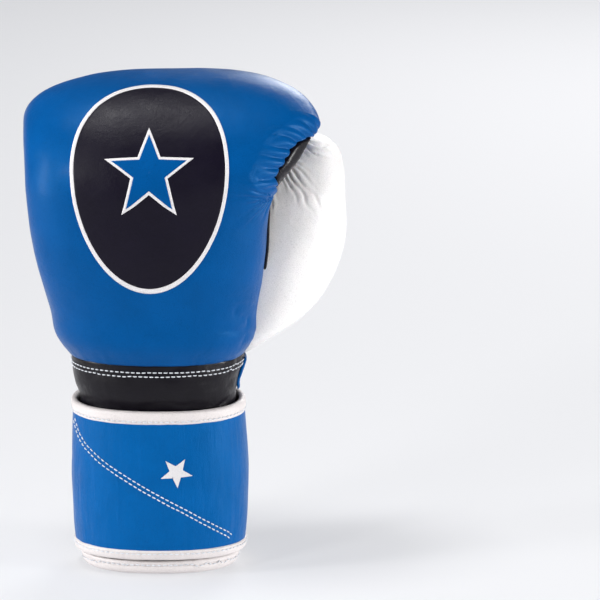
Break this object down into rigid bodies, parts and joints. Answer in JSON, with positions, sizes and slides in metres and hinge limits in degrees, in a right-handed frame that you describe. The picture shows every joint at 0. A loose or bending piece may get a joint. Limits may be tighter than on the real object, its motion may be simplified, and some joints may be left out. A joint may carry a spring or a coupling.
{
  "type": "boxing glove",
  "caption": "Padded leather boxing glove for the left hand, with a curled fist, an attached thumb, a mesh palm with a bound slit, and a wide hook-and-loop wrist strap.",
  "frame": {"origin": "middle of the base of the glove's box, on the surface that the open cuff stands on", "axes": "+Z from the cuff to the knuckles, +X towards the thumb, -Y towards the back of the hand, +Y towards the palm"},
  "size_m": [0.2003, 0.1398, 0.3089],
  "materials": {
    "blue_leather": "semi-gloss grained leather",
    "strap_leather": "semi-gloss creased leather",
    "black_leather": "soft glossy leather",
    "white_leather": "semi-gloss leather",
    "white_binding": "satin bias binding",
    "grey_mesh": "open air mesh",
    "foam": "dense foam",
    "soft_foam": "soft foam",
    "lining_cloth": "dark lining cloth",
    "hook_tape": "hook and loop tape",
    "bar_rubber": "matt foam rubber"
  },
  "bodies": {
    "glove": {"knuckle_shell": "blue_leather", "curl_inner_panel": "blue_leather", "placket": "blue_leather", "thumb_trim": "blue_leather", "wrist_tab": "blue_leather", "strap_back": "strap_leather", "wrist_panel_back": "black_leather", "lower_palm_pinky": "black_leather", "lower_palm_thumb": "black_leather", "thumb_web": "black_leather", "thumb_outer_panel": "white_leather", "thumb_inner_panel": "white_leather", "cuff_binding": "white_binding", "slit_binding": "white_binding", "strap_top_binding": "white_binding", "strap_bottom_binding": "white_binding", "palm_mesh": "grey_mesh", "impact_foam": "foam", "thumb_foam": "foam", "comfort_foam": "soft_foam", "cuff_foam": "soft_foam", "hand_lining_back": "lining_cloth", "palm_lining": "lining_cloth", "cuff_lining": "lining_cloth", "thumb_lining": "lining_cloth", "slit_gusset": "lining_cloth", "grip_bar": "bar_rubber"},
    "strap_flap": {"flap_root": "strap_leather", "flap_root_top_binding": "white_binding", "flap_root_bottom_binding": "white_binding"},
    "strap_tip": {"flap_tip": "strap_leather", "flap_tip_binding": "white_binding", "hook_patch": "hook_tape"},
    "inner_tab": {"inner_tab": "strap_leather", "inner_tab_binding": "white_binding", "loop_patch": "hook_tape"}
  },
  "joints": [
    {"name": "strap_open", "type": "hinge", "parent": "glove", "child": "strap_flap", "pos_m": [0.01477, 0.02416, 0.055], "axis": [0, 0, -1], "range_deg": [0, 150]},
    {"name": "strap_unroll", "type": "hinge", "parent": "strap_flap", "child": "strap_tip", "pos_m": [-0.02712, 0.02855, 0.055], "axis": [0, 0, -1], "range_deg": [0, 30]},
    {"name": "tab_open", "type": "hinge", "parent": "glove", "child": "inner_tab", "pos_m": [-0.06421, 0.00413, 0.055], "axis": [0, 0, 1], "range_deg": [0, 45]}
  ],
  "couplings": [
    {"joint": "strap_unroll", "follows": "strap_open", "ratio": 0.2},
    {"joint": "tab_open", "follows": "strap_open", "ratio": 0.3}
  ]
}
